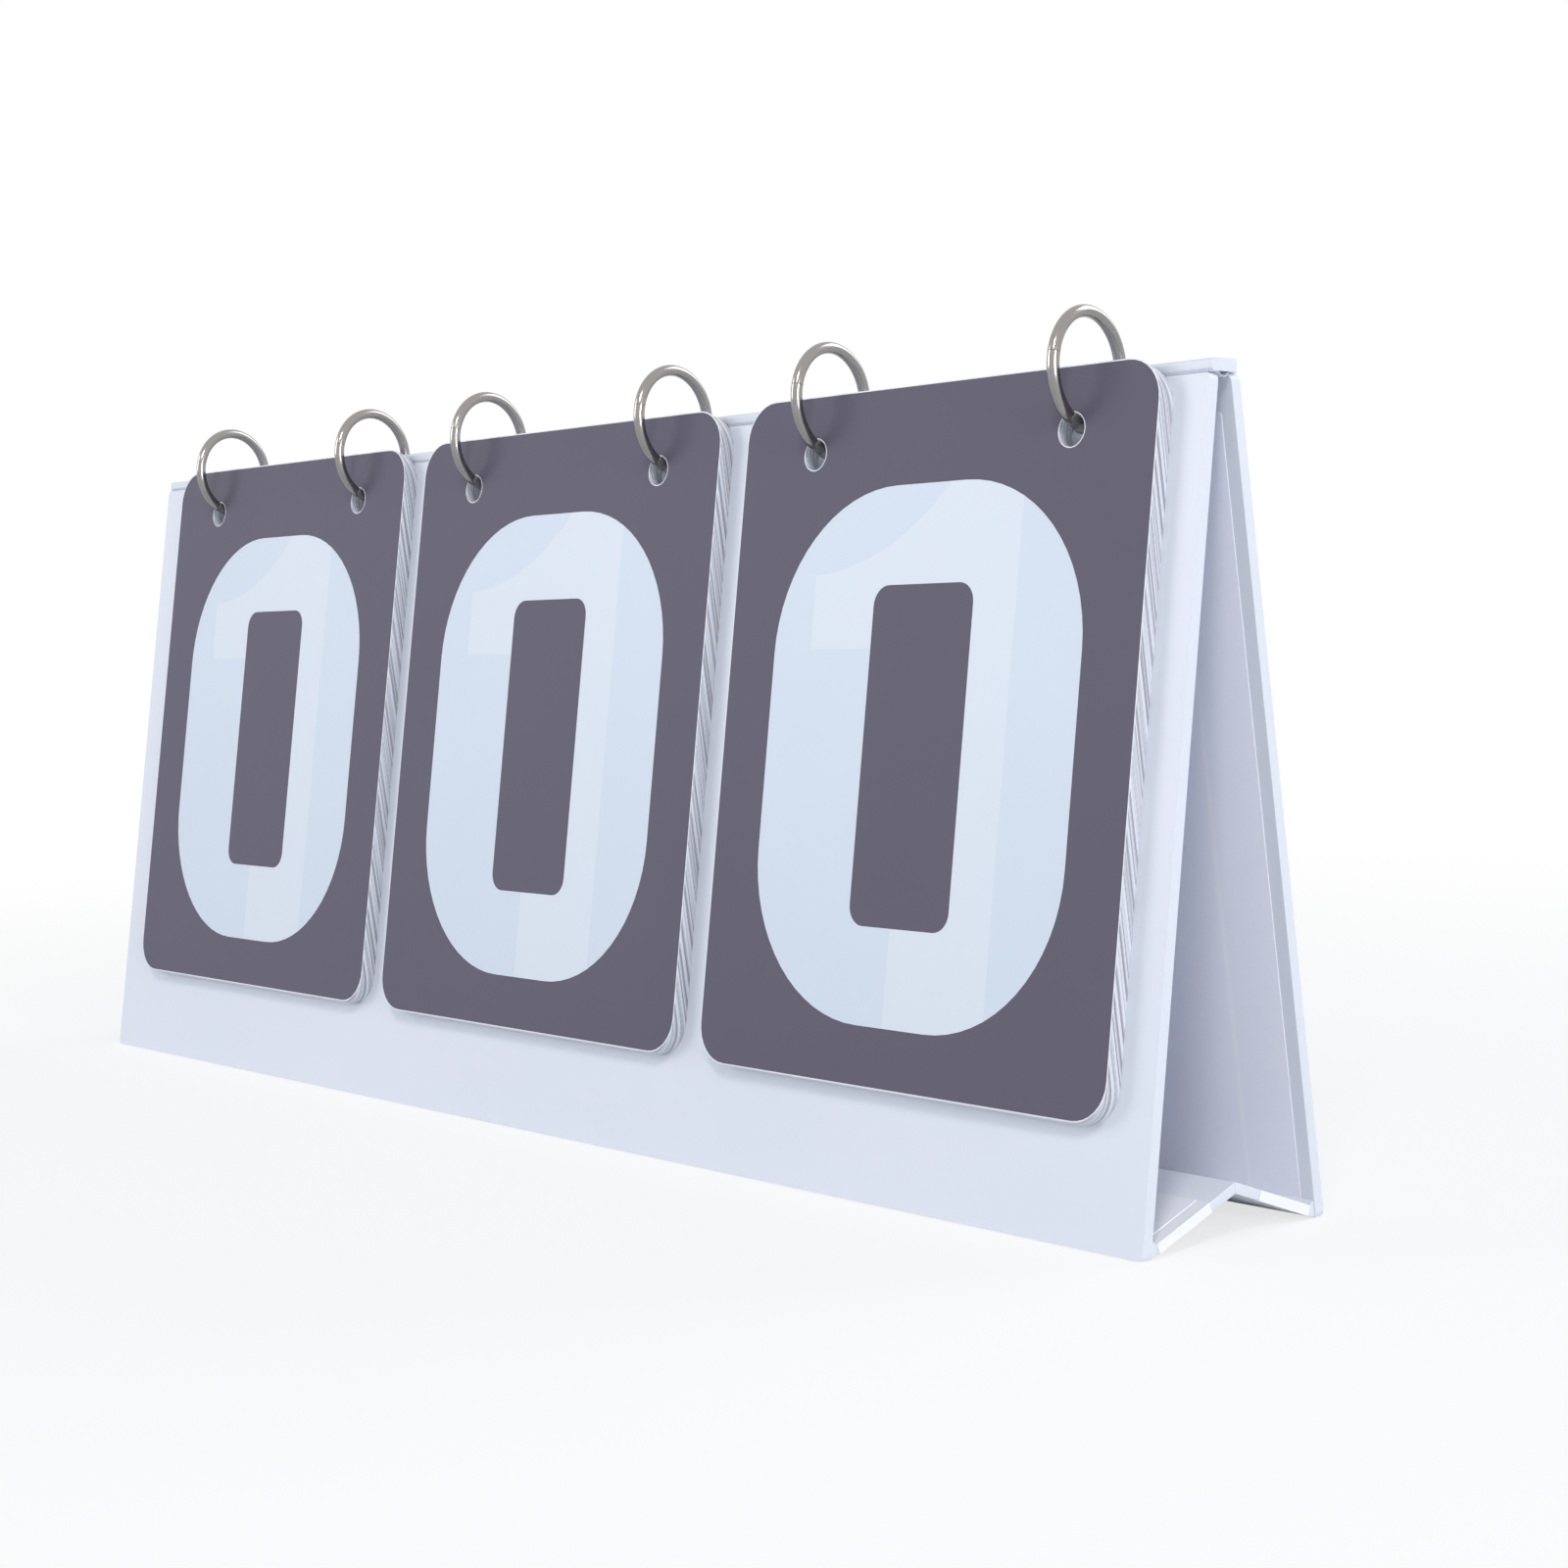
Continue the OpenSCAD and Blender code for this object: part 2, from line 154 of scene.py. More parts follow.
bpy.ops.object.select_all(action="DESELECT")
bpy.ops.mesh.primitive_plane_add(size=8, location=(0, 0, -0.0002))
floor = bpy.context.object
floor.name = "floor"
material, tree, output = new_material("white paper sweep")
path = add(tree, "ShaderNodeLightPath")
place = add(tree, "ShaderNodeTexCoord")
reach = add(tree, "ShaderNodeVectorMath", {0: place.outputs["Object"]}, operation="LENGTH")
far = add(tree, "ShaderNodeMapRange",
          {"Value": reach.outputs["Value"], "From Min": 0.2, "From Max": 0.8,
           "To Min": 0.72, "To Max": 1.0}, interpolation_type="SMOOTHSTEP")
far = add(tree, "ShaderNodeMath", {0: far.outputs[0], 1: path.outputs["Is Camera Ray"]},
          operation="MULTIPLY")
paper = add(tree, "ShaderNodeBsdfDiffuse", {"Color": colour("F4F6F6")})
glow = add(tree, "ShaderNodeEmission", {"Color": (1, 1, 1, 1), "Strength": 1.0})
mix = add(tree, "ShaderNodeMixShader", {0: far.outputs[0], 1: paper.outputs[0], 2: glow.outputs[0]})
tree.links.new(mix.outputs[0], output.inputs["Surface"])
floor.data.materials.append(material)

# %% [markdown]
# Four soft boxes light the object.
# The main one is high on the right, so that rings and cards throw their shadows to the left.
# A weaker one from the front left keeps the charcoal cards from going black.
# One at the right end shines in between the panels, which are pale inside as well.
# The last lights the back, because the object is also looked at from there.

# %% Lights
OBJECT_MIDDLE = Vector((0, 0, 0.08))


def soft_box(name, place, size, power, tint):
    """Adds a square area lamp that faces the middle of the object."""
    lamp = bpy.data.lights.new(name, "AREA")
    lamp.shape, lamp.size, lamp.energy = "SQUARE", size, power
    lamp.color = colour(tint)[:3]
    holder = bpy.data.objects.new(name, lamp)
    scene.collection.objects.link(holder)
    holder.location = place
    toward = OBJECT_MIDDLE - Vector(place)
    holder.rotation_euler = toward.to_track_quat("-Z", "Y").to_euler()
    print("light", name, power, "W")


soft_box("main_box", (1.5, -1.9, 2.2), 0.6, 31, "FFFDF8")
soft_box("front_box", (-1.4, -1.5, 0.8), 1.0, 13, "F9FBFF")
soft_box("end_box", (2.4, -0.5, 0.5), 1.0, 21, "FAFBFF")
soft_box("back_box", (0.5, 1.5, 1.1), 1.0, 9, "F9FBFF")

# %% [markdown]
# The boards are greyboard wrapped in printed art paper with a satin film.
# Film hides the fibres but follows the board, so light breaks up into a faint orange peel.
# A fine noise in the bump gives that, and a cloudy one keeps the white from being one flat tone.
# The base is lit only through the open ends, so its paper is painted a little lighter, as painted light
# that makes up for that shade.

# %% Laminated cover


def cover_material(name, base, shade):
    """Satin film over white art paper, with an orange peel of about 0.8 mm."""
    material, tree, output = new_material(name)
    place = add(tree, "ShaderNodeTexCoord")
    cloud = add(tree, "ShaderNodeTexNoise",
                {"Vector": place.outputs["Object"], "Scale": 1 / (60 * MM), "Detail": 3})
    tone = add(tree, "ShaderNodeMixRGB",
               {0: cloud.outputs["Fac"], 1: colour(base), 2: colour(shade)})
    peel = add(tree, "ShaderNodeTexNoise",
               {"Vector": place.outputs["Object"], "Scale": 1 / (0.8 * MM), "Detail": 2})
    bump = add(tree, "ShaderNodeBump",
               {"Height": peel.outputs["Fac"], "Strength": 0.12, "Distance": 0.05 * MM})
    gloss = add(tree, "ShaderNodeMapRange",
                {"Value": cloud.outputs["Fac"], "To Min": 0.34, "To Max": 0.44})
    skin = add(tree, "ShaderNodeBsdfPrincipled",
               {"Base Color": tone.outputs[0], "Roughness": gloss.outputs[0], "IOR": 1.49,
                "Normal": bump.outputs[0]})
    tree.links.new(skin.outputs[0], output.inputs["Surface"])
    return material


cover = cover_material("satin laminated art paper", "DADEE8", "D5DAE5")
cover_hinge = cover_material("satin laminated art paper, flexed", "DCDFE9", "D7DBE6")
# painted light: this copy of the cover is lighter only to make up for the shade on the base
cover_base_painted_light = cover_material("satin laminated art paper, base, painted lighter", "F1F2F7", "ECEEF4")

# %% [markdown]
# The lining is one uncoated sheet pasted inside each panel, 3 mm short of the edges.
# It is matt, and its fibres scatter light a little unevenly. Its tone is painted lighter than the cover
# paper, as painted light that lifts the shade inside the tent.
# The cover paper is turned in under it for 15 mm, and the small step at that edge catches the light as a
# faint line, painted into the colour as a painted highlight.
# The line follows the position across the width, so no image is needed for it.

# %% Lining paper
TURN_IN_AT = 175 * MM
material, tree, output = new_material("uncoated lining paper, painted lighter")
lining = material
place = add(tree, "ShaderNodeTexCoord")
split = add(tree, "ShaderNodeSeparateXYZ", {0: place.outputs["Object"]})
side = add(tree, "ShaderNodeMath", {0: split.outputs["X"]}, operation="ABSOLUTE")
away = add(tree, "ShaderNodeMath", {0: side.outputs[0], 1: TURN_IN_AT}, operation="SUBTRACT")
away = add(tree, "ShaderNodeMath", {0: away.outputs[0]}, operation="ABSOLUTE")
# painted highlight: a lighter line along the step of the turn-in edge
painted_step_highlight = add(tree, "ShaderNodeMapRange",
           {"Value": away.outputs[0], "From Min": 0.2 * MM, "From Max": 0.9 * MM,
            "To Min": 1.0, "To Max": 0.0})
fibre = add(tree, "ShaderNodeTexNoise",
            {"Vector": place.outputs["Object"], "Scale": 1 / (1.2 * MM), "Detail": 4})
# painted light: both tones are lighter than the cover, to lift the shade inside the tent
tone = add(tree, "ShaderNodeMixRGB", {0: fibre.outputs["Fac"], 1: colour("E9ECF7"), 2: colour("E4E8F5")})
tone = add(tree, "ShaderNodeMixRGB", {0: painted_step_highlight.outputs[0], 1: tone.outputs[0], 2: colour("EBEEF7")})
bump = add(tree, "ShaderNodeBump",
           {"Height": fibre.outputs["Fac"], "Strength": 0.2, "Distance": 0.04 * MM})
skin = add(tree, "ShaderNodeBsdfPrincipled",
           {"Base Color": tone.outputs[0], "Roughness": 0.78, "IOR": 1.5, "Normal": bump.outputs[0]})
tree.links.new(skin.outputs[0], output.inputs["Surface"])

# %% [markdown]
# The cards are frosted white polypropylene, printed on the front in charcoal.
# The numeral is left in the pale plastic, thin enough for the next card to shine through it.
# Four finishes are needed: bare sheet, charcoal ink, numeral, and numeral over pale plastic.
# They share one fine grain, so that they read as one sheet with ink on it.
# On the cut edges a darker tint is painted by turns, more on some cards than on others, as painted shade
# between the cards.
# The object's own normal tells an edge from a face, and a noise across the stack does the rest.

# %% Card finishes
LEAN = math.radians(7.9)


def card_material(name, base, shade, rough, grain, specular=0.5, edge=None):
    """Screen-printed or bare polypropylene with a frosted grain of about 0.5 mm.

    An edge colour, where one is given, darkens the cut edges by turns along the stack, as painted shade
    between the cards."""
    material, tree, output = new_material(name)
    place = add(tree, "ShaderNodeTexCoord")
    frost = add(tree, "ShaderNodeTexNoise",
                {"Vector": place.outputs["Object"], "Scale": 1 / (0.5 * MM), "Detail": 2})
    cloud = add(tree, "ShaderNodeTexNoise",
                {"Vector": place.outputs["Object"], "Scale": 1 / (35 * MM), "Detail": 2})
    tone = add(tree, "ShaderNodeMixRGB", {0: cloud.outputs["Fac"], 1: colour(base), 2: colour(shade)})
    if edge:
        split = add(tree, "ShaderNodeSeparateXYZ", {0: place.outputs["Normal"]})
        slope = add(tree, "ShaderNodeMath", {0: split.outputs["Y"]}, operation="ABSOLUTE")
        rim = add(tree, "ShaderNodeMath", {0: slope.outputs[0], 1: 0.5}, operation="LESS_THAN")
        stack = add(tree, "ShaderNodeVectorMath",
                    {0: place.outputs["Object"], 1: (0, math.cos(LEAN), math.sin(LEAN))},
                    operation="DOT_PRODUCT")
        # painted shade between the cards, stronger on some edges than on others
        painted_edge_shade = add(tree, "ShaderNodeTexNoise",
                    {"W": stack.outputs["Value"], "Scale": 1 / (0.7 * MM), "Detail": 1},
                    noise_dimensions="1D")
        painted_edge_shade = add(tree, "ShaderNodeMapRange",
                    {"Value": painted_edge_shade.outputs["Fac"], "From Min": 0.42, "From Max": 0.62,
                     "To Min": 0.0, "To Max": 0.85})
        amount = add(tree, "ShaderNodeMath", {0: rim.outputs[0], 1: painted_edge_shade.outputs[0]},
                     operation="MULTIPLY")
        tone = add(tree, "ShaderNodeMixRGB", {0: amount.outputs[0], 1: tone.outputs[0], 2: colour(edge)})
    bump = add(tree, "ShaderNodeBump",
               {"Height": frost.outputs["Fac"], "Strength": grain, "Distance": 0.03 * MM})
    skin = add(tree, "ShaderNodeBsdfPrincipled",
               {"Base Color": tone.outputs[0], "Roughness": rough, "IOR": 1.49,
                "Specular IOR Level": specular, "Normal": bump.outputs[0]})
    tree.links.new(skin.outputs[0], output.inputs["Surface"])
    return material


# the edge colour is painted shade on the cut edges of the stack
sheet = card_material("frosted polypropylene", "E4E7EE", "DADEE8", 0.42, 0.2, edge="83808C")
charcoal = card_material("charcoal screen ink", "5B5667", "575363", 0.6, 0.25, specular=0.3)
numeral_tone = card_material("polypropylene over charcoal", "C9D4E1", "C6D1DF", 0.42, 0.2)
bright_tone = card_material("polypropylene over polypropylene", "D2D9E4", "CFD6E2", 0.42, 0.2)

# %% [markdown]
# The rings are steel wire with bright nickel plating.
# Nickel is a little warm, almost a mirror, with faint drawing marks along the wire.
# A metal keeps the default IOR, and its colour is its reflection.
# Small changes in roughness stand for the handling marks of a tumbled part.

# %% Nickel plate
nickel, tree, output = new_material("bright nickel plate on steel wire")
place = add(tree, "ShaderNodeTexCoord")
marks = add(tree, "ShaderNodeTexNoise",
            {"Vector": place.outputs["Object"], "Scale": 1 / (1.5 * MM), "Detail": 4})
gloss = add(tree, "ShaderNodeMapRange",
            {"Value": marks.outputs["Fac"], "To Min": 0.08, "To Max": 0.24})
bump = add(tree, "ShaderNodeBump",
           {"Height": marks.outputs["Fac"], "Strength": 0.15, "Distance": 0.03 * MM})
skin = add(tree, "ShaderNodeBsdfPrincipled",
           {"Base Color": colour("9C9996"), "Metallic": 1.0, "Roughness": gloss.outputs[0],
            "Normal": bump.outputs[0]})
tree.links.new(skin.outputs[0], output.inputs["Surface"])

# %% [markdown]
# Each CAD part already has the right shape, so it only needs its finish.
# The names of the parts say what they are made of.
# A part's own material slots take the finish, and its mesh is not touched.

# %% Finishes on the CAD parts


def finish_for(name):
    """Picks the finish of a CAD part from its name."""
    if name.startswith("card_"):
        return sheet
    if name.startswith("ring_"):
        return nickel
    if name.startswith(("base_", "crease_")):
        return cover_base_painted_light
    if "liner" in name:
        return lining
    return cover_hinge if "strip" in name else cover


for name, part in nodes.items():
    for slot in part.material_slots:
        slot.material = finish_for(name)
print("finished", len(nodes), "CAD parts")

# %% [markdown]
# The numerals lie in the slope of the cards, so that slope is measured first.
# The biggest face of a card gives the way out of it, and X runs across it.
# The third direction runs up the card, and all prints are placed with these three.

# %% Directions and size of a card
front_card = nodes["card_left_0"].data
out = max(front_card.polygons, key=lambda face: face.area * (face.normal.y < 0)).normal.copy()
across = Vector((1, 0, 0))
upward = out.cross(across).normalized()


def card_frame(mesh):
    """Middle of the top edge on the front face, with the width and height of the card."""
    xs = [v.co.x for v in mesh.vertices]
    ups = [v.co.dot(upward) for v in mesh.vertices]
    outs = [v.co.dot(out) for v in mesh.vertices]
    middle = across * (min(xs) + max(xs)) / 2 + upward * max(ups) + out * max(outs)
    return middle, max(xs) - min(xs), max(ups) - min(ups)


corner, card_w, card_h = card_frame(front_card)
lean = math.degrees(math.asin(out.z))
print("lean", round(lean, 2), "card", round(card_w / MM, 1), "x", round(card_h / MM, 1), "mm")

# %% [markdown]
# The punched holes are found in the card's mesh, so that the ink is cut away at the same place.
# Their rims are the only points well inside the outline.

# %% Hole places
SIDE_BAND = 12 * MM
TOP_BAND = 2 * MM
rim = [Vector(((v.co - corner).dot(across), (v.co - corner).dot(upward))) for v in front_card.vertices]
rim = [p for p in rim if abs(p.x) < card_w / 2 - SIDE_BAND and -card_h / 2 < p.y < -TOP_BAND]
holes = []
for sign in (-1, 1):
    xs = [p.x for p in rim if p.x * sign > 0]
    ys = [p.y for p in rim if p.x * sign > 0]
    holes.append(((min(xs) + max(xs)) / 2, (min(ys) + max(ys)) / 2, (max(xs) - min(xs)) / 2))
print("holes", [[round(c / MM, 2) for c in hole] for hole in holes])

# %% [markdown]
# A numeral is a flat block shape, so it can be built from blocks with rounded corners.
# A cube is added at its size and its upright edges are bevelled to the radius of each corner.
# Blocks are then joined and slots cut with Boolean modifiers, as one would with cut card.
# The shapes are drawn 2 mm thick, where Booleans are safe, and flattened to an ink film later.

# %% Block shapes
THICK = 2 * MM


def block(x0, x1, y0, y1, corners=(0, 0, 0, 0)):
    """A block seen from the front, y measured down; corner radii go clockwise from top left."""
    bpy.ops.object.select_all(action="DESELECT")
    size = ((x1 - x0) * MM, (y1 - y0) * MM, THICK)
    middle = ((x0 + x1) / 2 * MM, -(y0 + y1) / 2 * MM, 0)
    bpy.ops.mesh.primitive_cube_add(size=1, location=middle, scale=size)
    bpy.ops.object.transform_apply(location=True, rotation=True, scale=True)
    shape = bpy.context.object
    for (x, y), radius in zip(((x0, y0), (x1, y0), (x1, y1), (x0, y1)), corners):
        if radius:
            round_upright_edge(shape, Vector((x * MM, -y * MM)), radius * MM)
    return shape


def round_upright_edge(shape, corner, radius):
    """Bevels the one upright edge that stands at that corner."""
    bpy.ops.object.mode_set(mode="EDIT")
    bpy.ops.mesh.select_mode(type="EDGE")
    bpy.ops.mesh.select_all(action="DESELECT")
    mesh = bmesh.from_edit_mesh(shape.data)
    for edge in mesh.edges:
        if all((v.co.xy - corner).length < 1e-5 for v in edge.verts):
            edge.select_set(True)
    bmesh.update_edit_mesh(shape.data)
    segments = 16 if radius > 10 * MM else 8
    bpy.ops.mesh.bevel(offset=radius, segments=segments, affect="EDGES")
    bpy.ops.object.mode_set(mode="OBJECT")


def combine(shape, other, operation):
    """Joins, cuts or crosses shape with other by an applied Boolean, and removes other."""
    bpy.ops.object.select_all(action="DESELECT")
    bpy.context.view_layer.objects.active = shape
    shape.select_set(True)
    step = shape.modifiers.new("combine", "BOOLEAN")
    step.operation, step.solver, step.object = operation, "EXACT", other
    bpy.ops.object.modifier_apply(modifier=step.name)
    bpy.data.objects.remove(other)
    return shape


# %% [markdown]
# The zero was measured on the photograph: 85 by 106 mm, with a slot 28 mm wide.
# The other nine are plain block numerals drawn to the same stroke widths.
# Each is a list of blocks that are joined and a list of blocks that are cut away.
# Every block is left, right, top and bottom in millimetres, then its four corner radii.

# %% Numeral shapes
ROUND = (33, 33, 33, 33)
SLOT = (4, 4, 4, 4)
NUMERALS = {
    0: ([(-42.5, 42.5, 19.7, 125.7, ROUND)], [(-13.8, 13.8, 39.4, 106.4, SLOT)]),
    1: ([(-2, 25, 19.7, 125.7), (-31.5, 4, 19.7, 51.8)],
        [(-60, 20.5, -30, 37, (0, 0, 55, 0))]),
    2: ([(-42.5, 42.5, 19.7, 82.4, (33, 33, 30, 0)), (-42.5, 42.5, 62.8, 125.7, (30, 0, 0, 0))],
        [(-14, 14, 39.4, 62.8, SLOT), (-60, 8, 51, 62.8),
         (-14, 14, 82.4, 106, SLOT), (0, 60, 82.4, 106)]),
    3: ([(-42.5, 42.5, 19.7, 125.7, ROUND)],
        [(-14, 14, 39.4, 62.8, SLOT), (-14, 14, 82.4, 106, SLOT), (-60, -20, 51, 94),
         (-60, 0, 51, 62.8), (-60, 0, 82.4, 94)]),
    4: ([(-42.5, -14, 19.7, 104, (4, 4, 0, 4)), (-42.5, 42.5, 84, 104, SLOT),
         (8, 36.5, 19.7, 125.7)], []),
    5: ([(-42.5, 42.5, 19.7, 82.4, (0, 0, 30, 0)), (-42.5, 42.5, 62.8, 125.7, (0, 30, 33, 33))],
        [(-14, 14, 39.4, 62.8, SLOT), (0, 60, 39.4, 62.8), (-14, 14, 82.4, 106, SLOT),
         (-60, 0, 82.4, 94)]),
    6: ([(-42.5, 42.5, 19.7, 125.7, ROUND)],
        [(-14, 14, 39.4, 62, SLOT), (0, 60, 51, 62), (-14, 14, 81.6, 106, SLOT)]),
    7: ([(-42.5, 42.5, 19.7, 40.5), (-14, 14, 19.7, 125.7)], []),
    8: ([(-42.5, 42.5, 19.7, 125.7, ROUND)],
        [(-14, 14, 39.4, 62.8, SLOT), (-14, 14, 82.4, 106, SLOT)]),
    9: ([(-42.5, 42.5, 19.7, 125.7, ROUND)],
        [(-14, 14, 39.4, 63.8, SLOT), (-60, 0, 83.4, 94.4), (-14, 14, 83.4, 106, SLOT)]),
}


def numeral(digit):
    """Builds one numeral from its blocks and cuts."""
    added, cut = NUMERALS[digit]
    shape = block(*added[0])
    for piece in added[1:]:
        combine(shape, block(*piece), "UNION")
    for piece in cut:
        hole = block(*piece)
        # a cut is made twice as thick, so that it comes out on both faces
        hole.data.transform(Matrix.Diagonal((1, 1, 2, 1)))
        combine(shape, hole, "DIFFERENCE")
    shape.name = f"numeral_{digit}"
    print(shape.name, len(shape.data.polygons), "faces")
    return shape


shapes = [numeral(digit) for digit in range(10)]

# %% [markdown]
# The charcoal ink covers the front of a card up to a hair's breadth from its edges.
# It is a card-shaped block with two round holes, as wide as the punch plus a little.

# %% Ink sheet
EDGE = 0.25
CARD_CORNER = 8
PUNCH_CLEAR = 0.2 * MM
width, height = card_w / MM, card_h / MM
ink = block(-width / 2 + EDGE, width / 2 - EDGE, EDGE, height - EDGE, (CARD_CORNER - EDGE,) * 4)
for x, y, radius in holes:
    bpy.ops.object.select_all(action="DESELECT")
    bpy.ops.mesh.primitive_cylinder_add(vertices=48, radius=radius + PUNCH_CLEAR, depth=3 * THICK,
                                        location=(x, y, 0))
    bpy.ops.object.transform_apply(location=True, rotation=True, scale=True)
    combine(ink, bpy.context.object, "DIFFERENCE")
print("ink sheet", len(ink.data.polygons), "faces")

# %% [markdown]
# Where the numeral of the next card lies behind this one, the plastic looks brighter.
# That patch is the part the two numerals share, so a Boolean finds it.
# The three layers are then pressed to films of a few hundredths of a millimetre.
# Together they stay thinner than the air between two cards.

# %% Films for one card
# bottom and top of each film over the face of the card, in millimetres
INK_FILM = (0.0, 0.014)
NUMERAL_FILM = (0.008, 0.024)
BRIGHT_FILM = (0.018, 0.034)


def film(shape, low, high, finish):
    """Copies shape, presses it between two heights over the card and gives it its finish."""
    copy = bpy.data.objects.new(shape.name + "_film", shape.data.copy())
    scene.collection.objects.link(copy)
    thin = (high - low) / (THICK / MM)
    lift = Matrix.Translation((0, 0, (low + high) / 2 * MM))
    copy.data.transform(lift @ Matrix.Diagonal((1, 1, thin, 1)))
    copy.data.materials.clear()
    copy.data.materials.append(finish)
    return copy


def card_print(digit):
    """Joins ink, numeral and the patch of the next numeral into one printed layer."""
    layers = [film(ink, *INK_FILM, charcoal), film(shapes[digit], *NUMERAL_FILM, numeral_tone)]
    if digit < 9:
        # both numerals stay thick here, one a little thicker, so that their faces don't coincide
        shared = film(shapes[digit], -1, 1, bright_tone)
        other = film(shapes[digit + 1], -1.1, 1.1, bright_tone)
        combine(shared, other, "INTERSECT")
        layers.append(film(shared, *BRIGHT_FILM, bright_tone))
        bpy.data.objects.remove(shared)
    bpy.ops.object.select_all(action="DESELECT")
    for layer in layers:
        layer.select_set(True)
    bpy.context.view_layer.objects.active = layers[0]
    bpy.ops.object.join()
    return bpy.context.object


masters = [card_print(digit) for digit in range(10)]
print("printed layers", [len(m.data.polygons) for m in masters])

# %% [markdown]
# Every deck has the same ten cards, so each printed layer is modelled once and copied.
# A copy gets its own mesh, turned into the slope of the cards and moved onto its own card.
# It rides on the body of that card, so it turns over with it.

# %% Prints on the cards
turn = Matrix((across, upward, out)).transposed().to_4x4()
for deck in DECKS:
    for digit, master in enumerate(masters):
        place, _, _ = card_frame(nodes[f"card_{deck}_{digit}"].data)
        layer = bpy.data.objects.new(f"print_{deck}_{digit}", master.data.copy())
        scene.collection.objects.link(layer)
        layer.data.transform(Matrix.Translation(place) @ turn)
        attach(layer, f"card_{deck}_{digit}")
for shape in [*shapes, *masters, ink]:
    bpy.data.objects.remove(shape)
print("prints on", len(DECKS) * 10, "cards")

# %% [markdown]
# At the feet the cover paper alone is the hinge.
# Those strips are copies of their CAD solids with merged corners and rounded edges.
# They are cut into narrow lengths across.
# At a foot the lining closes the joint from above as well, so that no slot is seen there.
# The two upper edges of the copy are moved up for that, and the strip becomes a soft wedge.

# %% Soft cover strips
STRIP_EDGE = 0.12 * MM
STRETCH = 379.6 / 377


def soft_strip(node, name, cuts, lifts=()):
    """Copies a strip's solid, merges its triangles, slices it across and rounds its edges.

    Each lift is a test that picks the corners to move, and how far they go in Y and Z.
    A lifted strip is also stretched in X from 377 mm to just inside the ends of the boards."""
    strip = bpy.data.objects.new(name, nodes[node].data.copy())
    scene.collection.objects.link(strip)
    bpy.ops.object.select_all(action="DESELECT")
    bpy.context.view_layer.objects.active = strip
    strip.select_set(True)
    low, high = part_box(node)
    bpy.ops.object.mode_set(mode="EDIT")
    bpy.ops.mesh.select_all(action="SELECT")
    bpy.ops.mesh.remove_doubles(threshold=1e-6)
    bpy.ops.mesh.tris_convert_to_quads(face_threshold=0.1, shape_threshold=3.1)
    bpy.ops.mesh.dissolve_limited(angle_limit=0.01)
    bpy.ops.mesh.select_mode(type="VERT")
    for picked, y, z in lifts:
        bpy.ops.mesh.select_all(action="DESELECT")
        mesh = bmesh.from_edit_mesh(strip.data)
        for v in mesh.verts:
            v.select_set(picked(v.co))
        bmesh.update_edit_mesh(strip.data)
        bpy.ops.transform.translate(value=(0, y * MM, z * MM))
    if lifts:
        bpy.ops.mesh.select_all(action="SELECT")
        bpy.ops.transform.resize(value=(STRETCH, 1, 1), center_override=(0, 0, 0))
    for step in range(1, cuts):
        bpy.ops.mesh.select_all(action="SELECT")
        y = low.y + (high.y - low.y) * step / cuts
        bpy.ops.mesh.bisect(plane_co=(0, y, 0), plane_no=(0, 1, 0))
    bpy.ops.mesh.select_all(action="SELECT")
    bpy.ops.mesh.normals_make_consistent(inside=False)
    bpy.ops.object.mode_set(mode="OBJECT")
    bevel = strip.modifiers.new("soft edge", "BEVEL")
    bevel.width, bevel.segments, bevel.limit_method = STRIP_EDGE, 3, "ANGLE"
    bevel.angle_limit = math.radians(40)
    bpy.ops.object.modifier_apply(modifier=bevel.name)
    bpy.ops.object.shade_smooth_by_angle(angle=math.radians(35))
    strip.data.materials.clear()
    strip.data.materials.append(cover_hinge)
    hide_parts(node)
    print(name, len(strip.data.polygons), "faces")
    return strip, low, high


# the panel's edge of a foot strip lies outside this distance from the middle, the base's inside
FOOT_SPLIT = 22.3 * MM


def upper_panel_corner(p):
    """Tells whether a corner of a foot strip is on its upper edge at the panel."""
    return abs(p.y) > FOOT_SPLIT and p.z > 0.3 * MM


def upper_base_corner(p):
    """Tells whether a corner of a foot strip is on its upper edge at the base board."""
    return abs(p.y) < FOOT_SPLIT and p.z > 0.9 * MM


for side, panel, node in ((-1, "front_stand", "front"), (1, "back_stand", "back")):
    lifts = ((upper_panel_corner, -side * 0.36, 2.75), (upper_base_corner, side * 0.45, 1.3))
    strip, low, high = soft_strip(f"{node}_foot_strip", f"{node}_foot_cover", 10, lifts)
    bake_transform(strip)

# %% [markdown]
# The crease in the middle of the base is the same paper, folded once.
# Its two halves meet at the fold, and each rides on its own half of the base.

# %% Crease halves
for half in ("front", "back"):
    strip, _, _ = soft_strip(f"crease_{half}", f"crease_cover_{half}", 4)
    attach(strip, f"base_{half}_half")

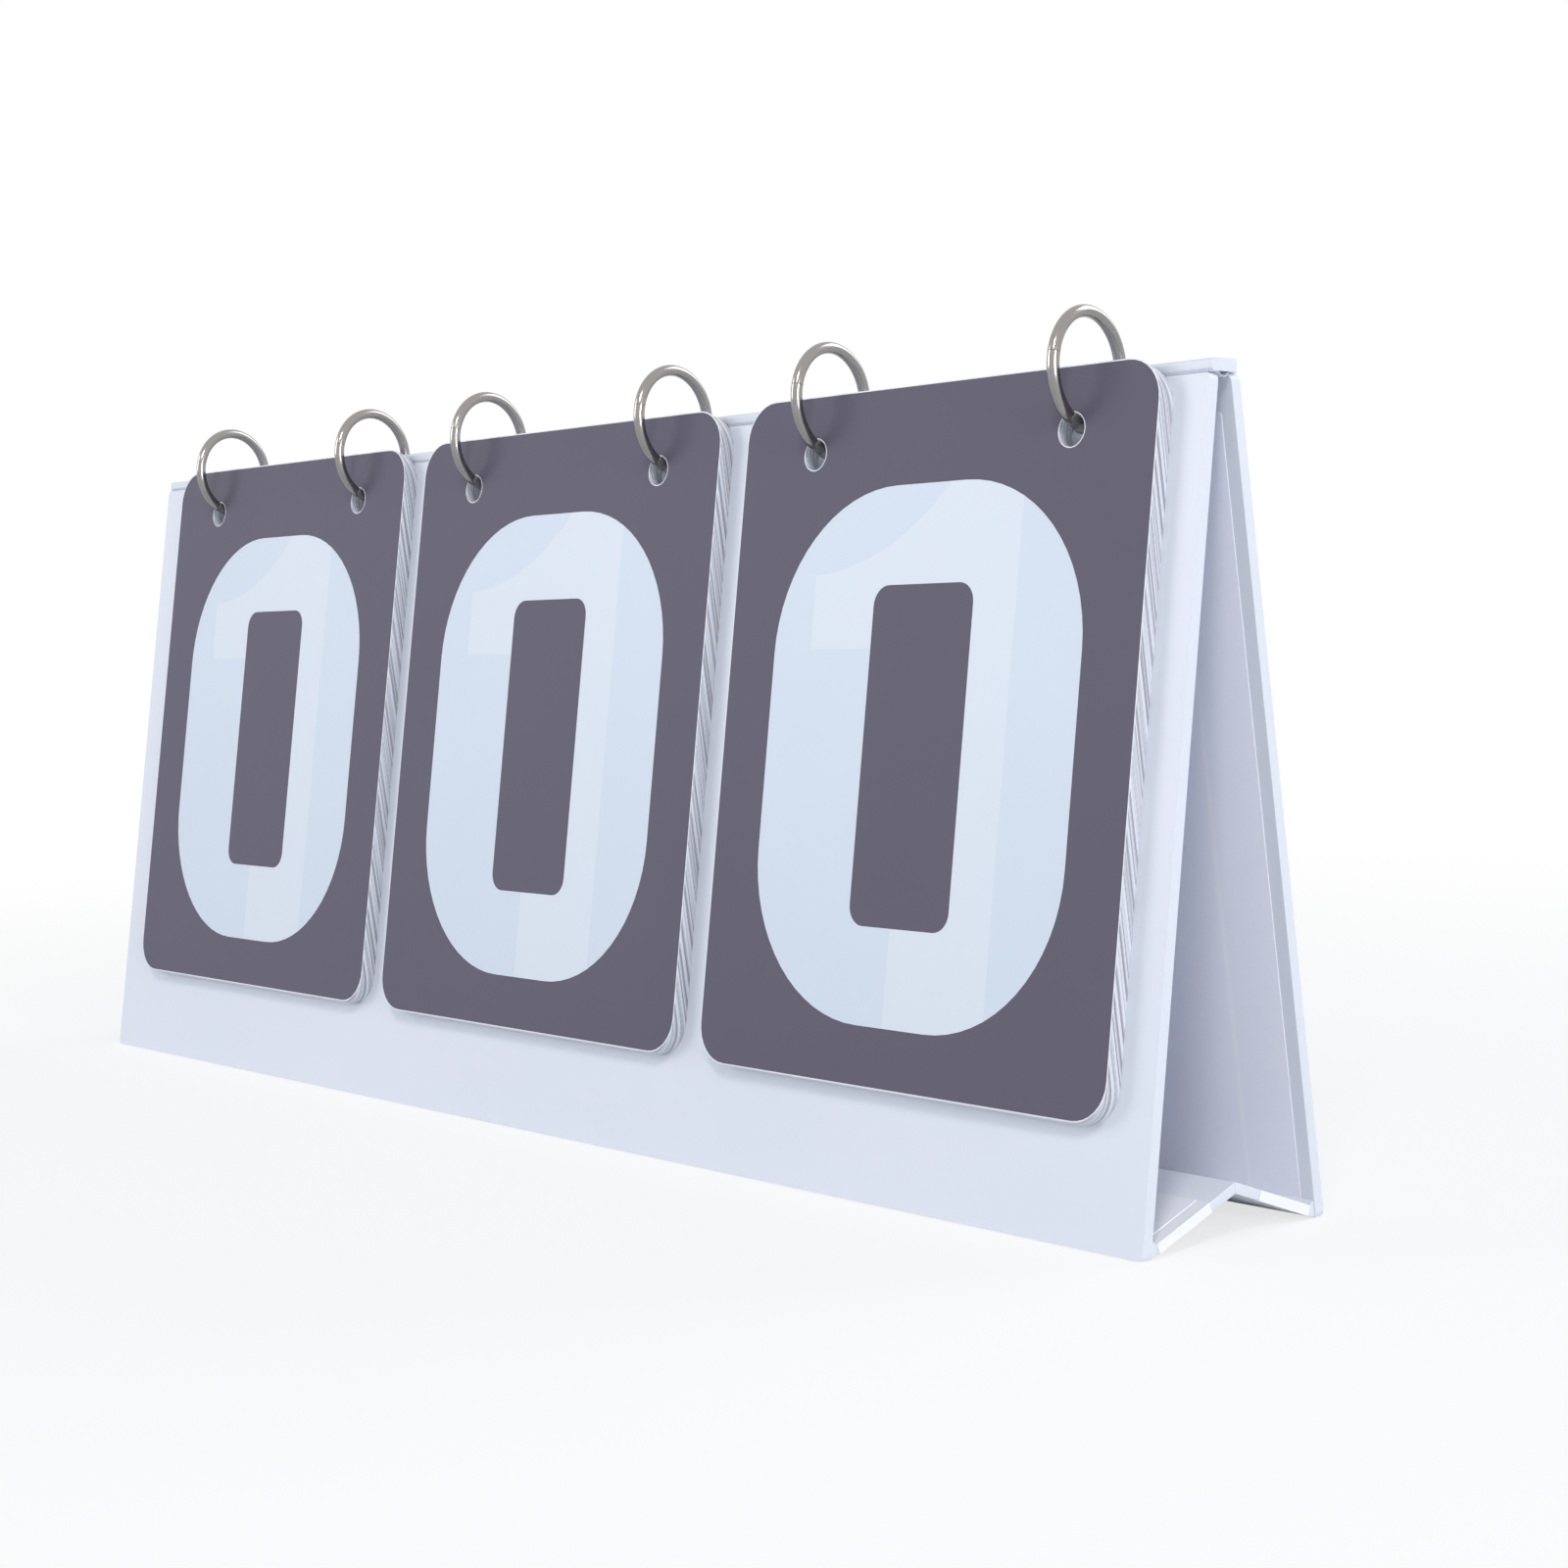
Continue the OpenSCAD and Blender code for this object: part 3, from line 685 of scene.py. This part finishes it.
# %% [markdown]
# The ridge is a narrow board of its own, and the cover runs over it from one panel to the other.
# In the groove on each side of it the paper is pressed in, and there it does the bending.
# Between the two panels the lining hangs down a little and closes the top of the tent.
# A flat block is cut into lengths across, the free part is let down, and the edges are rounded.

# %% Ridge hinges
low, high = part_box("ridge_board")
outer, inner, centre = high.y + 0.35 * MM, high.y - 1.9 * MM, 0.05 * MM
PAPER = 0.16 * MM
PAPER_EDGE = 0.06 * MM
SAG = 0.9 * MM
LENGTHS = 16


def ridge_hinge(name, side):
    """Shapes the folded paper under one edge of the ridge board."""
    bpy.ops.object.select_all(action="DESELECT")
    middle = (0, side * (outer + centre) / 2, low.z - 0.02 * MM)
    bpy.ops.mesh.primitive_cube_add(size=1, location=middle,
                                    scale=(high.x - low.x - 0.3 * MM, outer - centre, PAPER))
    bpy.ops.object.transform_apply(location=True, rotation=True, scale=True)
    bpy.ops.object.mode_set(mode="EDIT")
    bpy.ops.mesh.select_mode(type="VERT")
    for step in range(1, LENGTHS):
        bpy.ops.mesh.select_all(action="SELECT")
        y = side * (centre + (outer - centre) * step / LENGTHS)
        bpy.ops.mesh.bisect(plane_co=(0, y, 0), plane_no=(0, 1, 0))
    # between the two boards the paper hangs down in a shallow curve
    mesh = bmesh.from_edit_mesh(bpy.context.object.data)
    for v in mesh.verts:
        free = 1 - min(abs(v.co.y) / inner, 1) ** 2
        v.co.z -= SAG * free
    bmesh.update_edit_mesh(bpy.context.object.data)
    bpy.ops.mesh.select_all(action="SELECT")
    bpy.ops.mesh.normals_make_consistent(inside=False)
    bpy.ops.object.mode_set(mode="OBJECT")
    hinge = bpy.context.object
    hinge.name = name
    bevel = hinge.modifiers.new("soft edge", "BEVEL")
    bevel.width, bevel.segments, bevel.limit_method = PAPER_EDGE, 3, "ANGLE"
    bevel.angle_limit = math.radians(40)
    bpy.ops.object.modifier_apply(modifier=bevel.name)
    bpy.ops.object.shade_smooth_by_angle(angle=math.radians(35))
    hinge.data.materials.append(cover_hinge)
    print(name, len(hinge.data.polygons), "faces")
    return hinge


hinge = ridge_hinge("ridge_hinge_front", -1)
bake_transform(hinge)
hinge = ridge_hinge("ridge_hinge_back", 1)
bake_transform(hinge)
